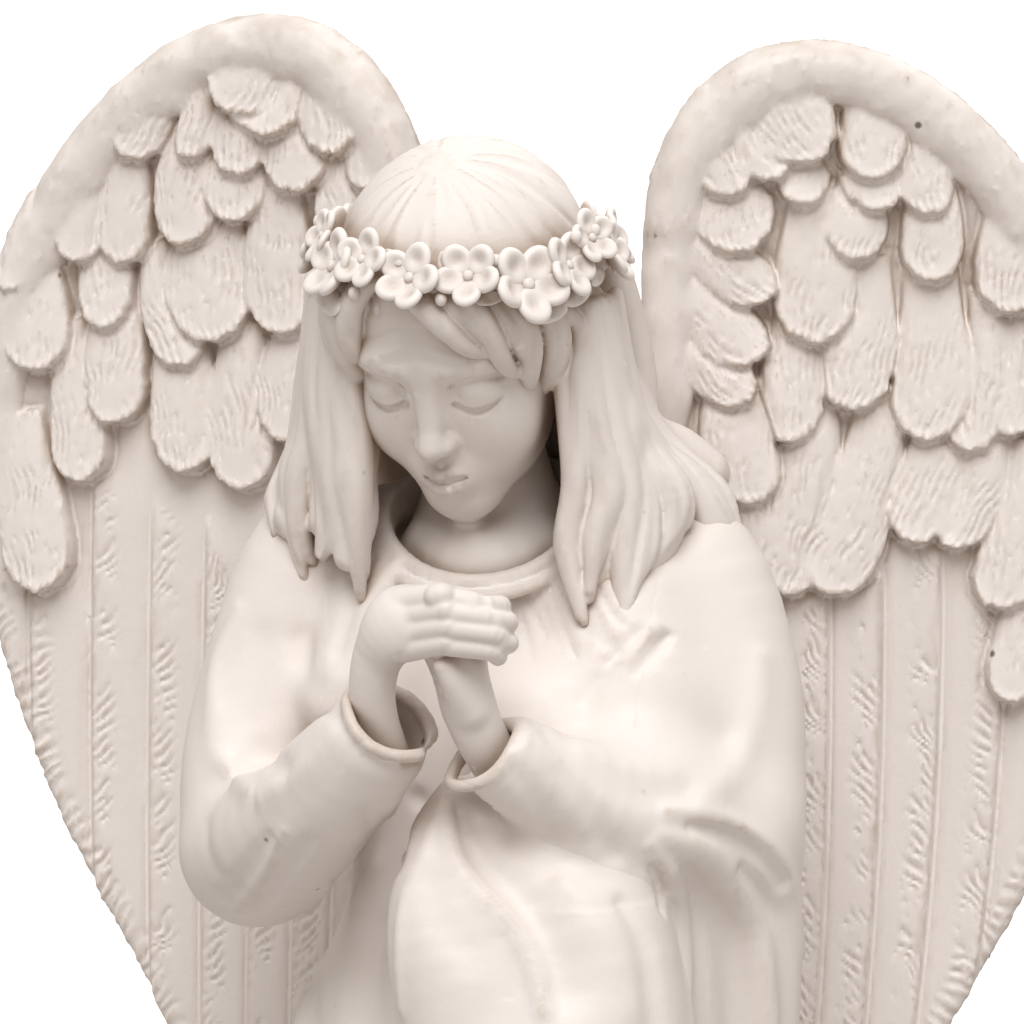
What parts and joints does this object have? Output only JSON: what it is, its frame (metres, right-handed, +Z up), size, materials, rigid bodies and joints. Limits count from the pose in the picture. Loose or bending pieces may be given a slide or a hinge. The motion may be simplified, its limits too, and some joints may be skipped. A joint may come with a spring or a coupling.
{
  "type": "angel figurine",
  "caption": "Kneeling angel in a long robe, hands clasped, head bowed under a flower wreath, with tall feathered wings, on a round plinth.",
  "frame": {"origin": "centre of the underside, on the face that rests on the table", "axes": "+Z up, -Y the way the figure faces, +X the figure's own left side"},
  "size_m": [0.2306, 0.144, 0.299],
  "materials": {
    "resin": "cast resin, warm off-white, with a brownish wash left in the recesses",
    "steel_dowel": "plain drawn steel rod",
    "felt": "pressed wool felt, beige"
  },
  "bodies": {
    "root": {"felt_pad": "felt", "base_plate": "resin", "plinth": "resin", "robe_body": "resin", "right_arm": "resin", "left_arm": "resin", "clasped_hands": "resin", "head": "resin", "flower_wreath": "resin", "left_wing": "resin", "right_wing": "resin", "left_wing_dowels": "steel_dowel", "right_wing_dowels": "steel_dowel", "neck_dowel": "steel_dowel", "arm_dowels": "steel_dowel"}
  },
  "joints": []
}
